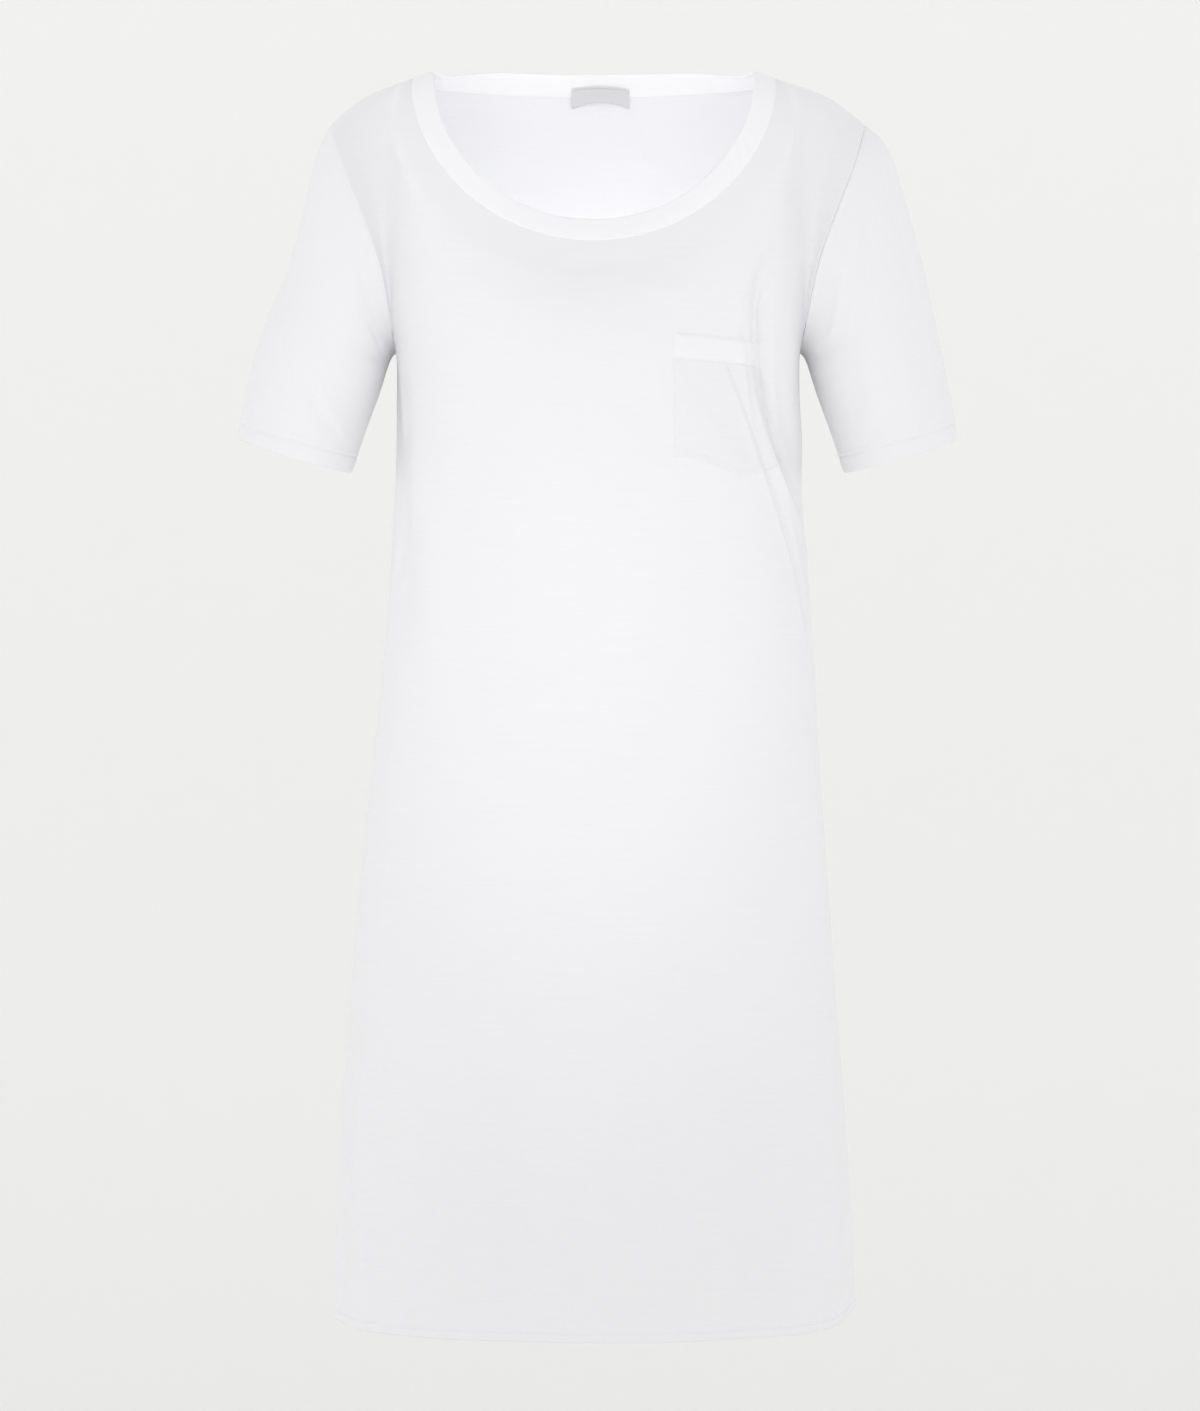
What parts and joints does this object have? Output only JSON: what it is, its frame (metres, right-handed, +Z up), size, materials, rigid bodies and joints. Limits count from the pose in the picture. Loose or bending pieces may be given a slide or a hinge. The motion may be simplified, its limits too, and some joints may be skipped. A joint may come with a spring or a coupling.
{
  "type": "nightshirt",
  "caption": "Short-sleeved knee-length nightshirt in plain cotton jersey, filled out as worn and hollow, with a wide scoop neckband and a pointed breast pocket.",
  "frame": {"origin": "midway between the two points where the shoulder seams meet the neckband, the middle of the line across the shoulders that carry the garment", "axes": "+Z up as it is worn, the front faces -Y, and the wearer's left sleeve is towards +X"},
  "size_m": [0.523, 0.2526, 0.9165],
  "materials": {
    "jersey": "matt white slub cotton jersey",
    "rib": "white cotton binding, a little brighter than the jersey",
    "label": "grey woven satin, blank"
  },
  "bodies": {
    "root": {"front_panel": "jersey", "back_panel": "jersey", "sleeve_left": "jersey", "sleeve_right": "jersey", "neckband": "rib", "pocket": "jersey", "pocket_band": "rib", "label": "label"}
  },
  "joints": []
}
